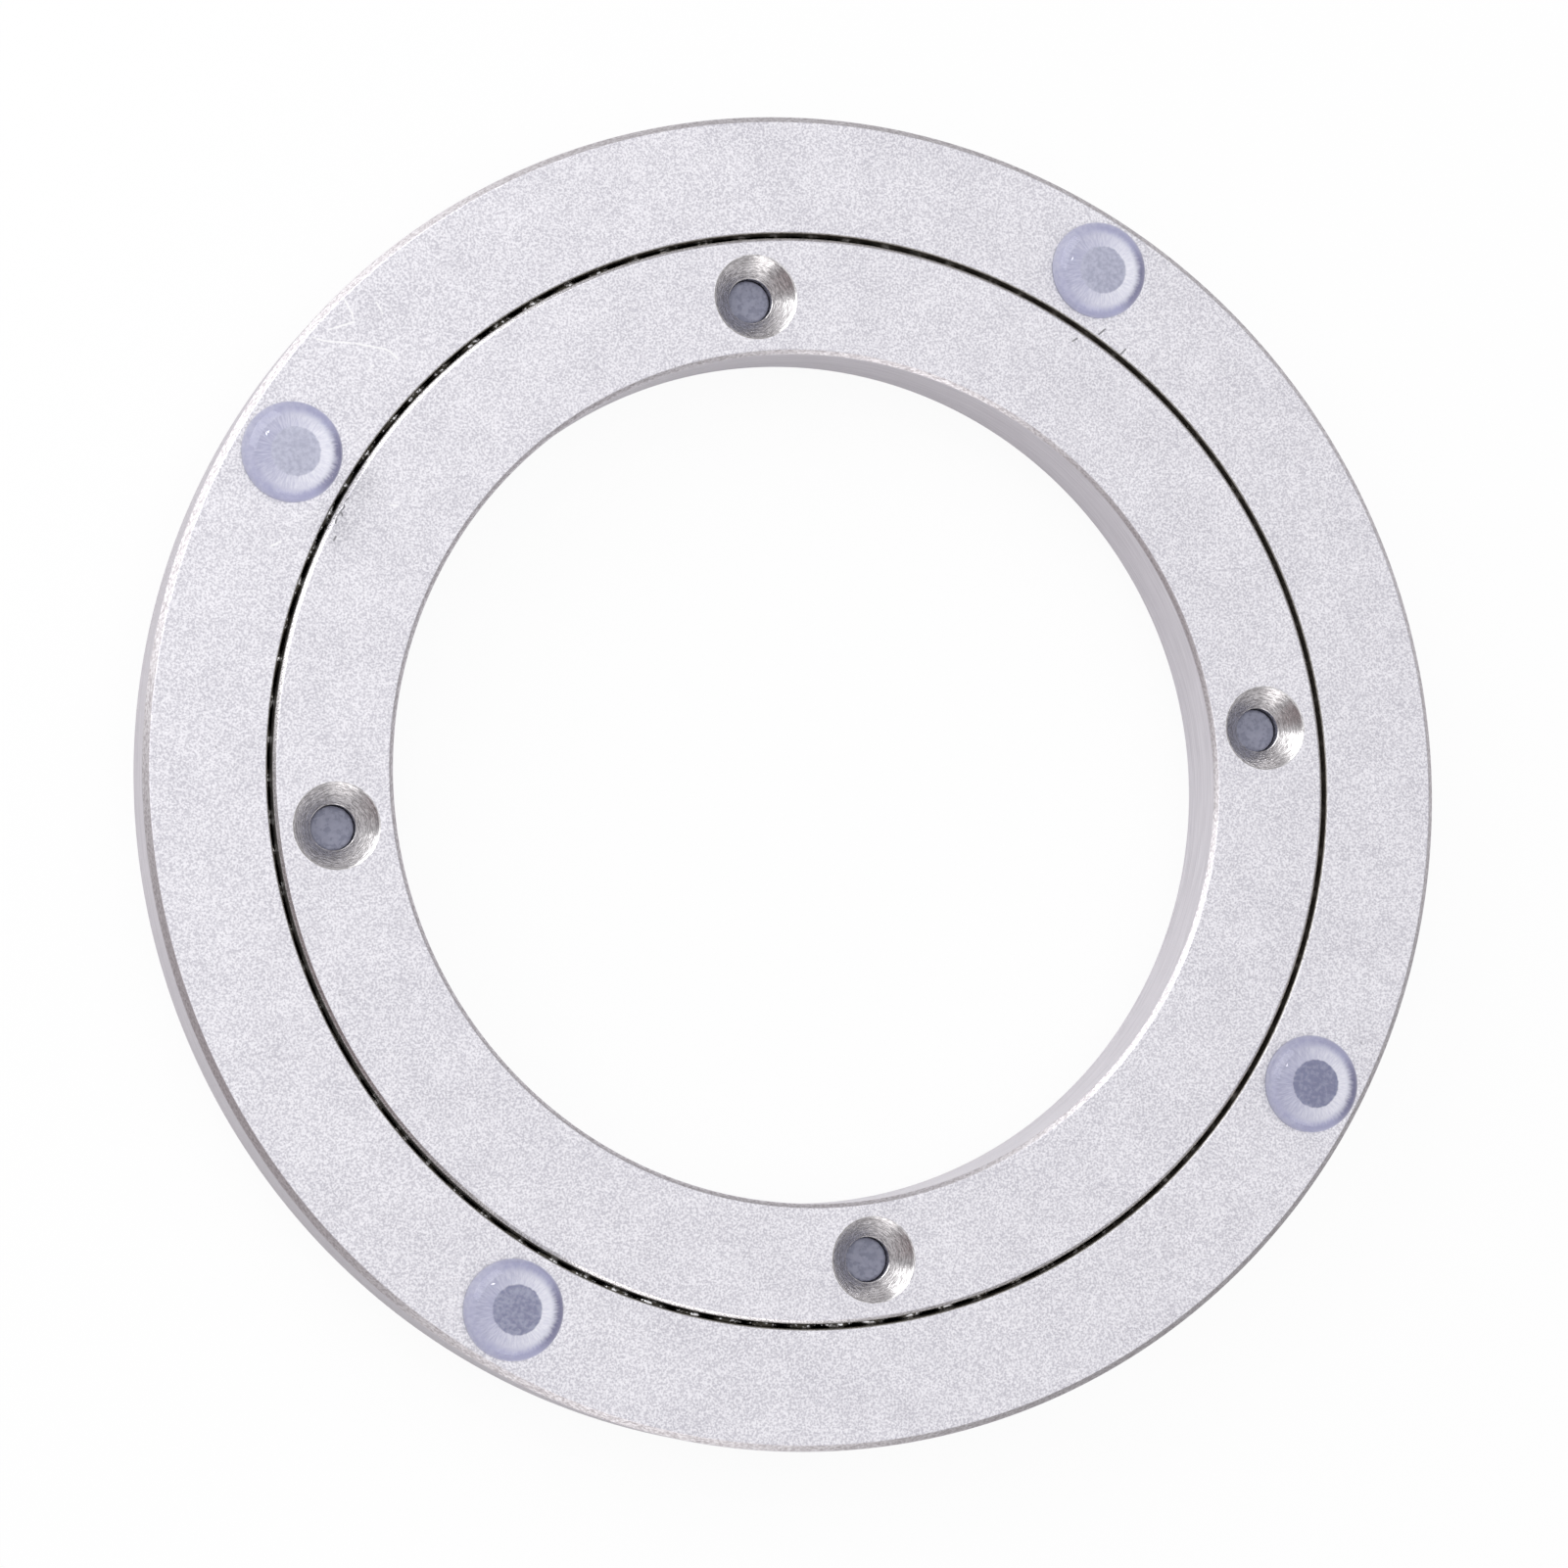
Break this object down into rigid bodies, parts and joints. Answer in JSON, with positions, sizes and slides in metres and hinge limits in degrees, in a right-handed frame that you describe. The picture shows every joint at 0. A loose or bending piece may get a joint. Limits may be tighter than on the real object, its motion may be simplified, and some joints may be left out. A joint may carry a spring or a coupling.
{
  "type": "lazy susan bearing",
  "caption": "Flat ring turntable bearing: one metal ring turns round another on a circle of balls, with clear stem pads pressed into countersunk screw holes.",
  "frame": {"origin": "on the axis of turning, in the plane that the pads under the inner ring stand on", "axes": "+Z up along the axis of turning, towards the pads that carry the table top; +X to the right and +Y up as the picture shows the part"},
  "size_m": [0.14, 0.14, 0.0132],
  "materials": {
    "ring_metal": "fine blasted, with bare turned countersinks and chamfers",
    "steel_balls": "polished bearing steel",
    "clear_pads": "clear soft plastic with a faint blue cast"
  },
  "bodies": {
    "base": {"inner_ring": "ring_metal", "foot_pad_1": "clear_pads", "foot_pad_2": "clear_pads", "foot_pad_3": "clear_pads", "foot_pad_4": "clear_pads"},
    "turntable": {"outer_ring": "ring_metal", "port_plug": "ring_metal", "top_pad_1": "clear_pads", "top_pad_2": "clear_pads", "top_pad_3": "clear_pads", "top_pad_4": "clear_pads"},
    "ball_train": {"ball_set_01": "steel_balls", "ball_set_02": "steel_balls", "ball_set_03": "steel_balls", "ball_set_04": "steel_balls", "ball_set_05": "steel_balls", "ball_set_06": "steel_balls", "ball_set_07": "steel_balls", "ball_set_08": "steel_balls", "ball_set_09": "steel_balls", "ball_set_10": "steel_balls", "ball_set_11": "steel_balls", "ball_set_12": "steel_balls", "ball_set_13": "steel_balls", "ball_set_14": "steel_balls", "ball_set_15": "steel_balls", "ball_set_16": "steel_balls", "ball_set_17": "steel_balls", "ball_set_18": "steel_balls", "ball_set_19": "steel_balls", "ball_set_20": "steel_balls", "ball_set_21": "steel_balls", "ball_set_22": "steel_balls", "ball_set_23": "steel_balls", "ball_set_24": "steel_balls", "ball_set_25": "steel_balls", "ball_set_26": "steel_balls", "ball_set_27": "steel_balls", "ball_set_28": "steel_balls", "ball_set_29": "steel_balls", "ball_set_30": "steel_balls"}
  },
  "joints": [
    {"name": "turn", "type": "hinge", "parent": "base", "child": "turntable", "pos_m": [0, 0, 0.00675], "axis": [0, 0, 1], "continuous": true},
    {"name": "ball_orbit", "type": "hinge", "parent": "base", "child": "ball_train", "pos_m": [0, 0, 0.00675], "axis": [0, 0, 1], "continuous": true}
  ],
  "couplings": [
    {"joint": "ball_orbit", "follows": "turn", "ratio": 0.5123}
  ]
}
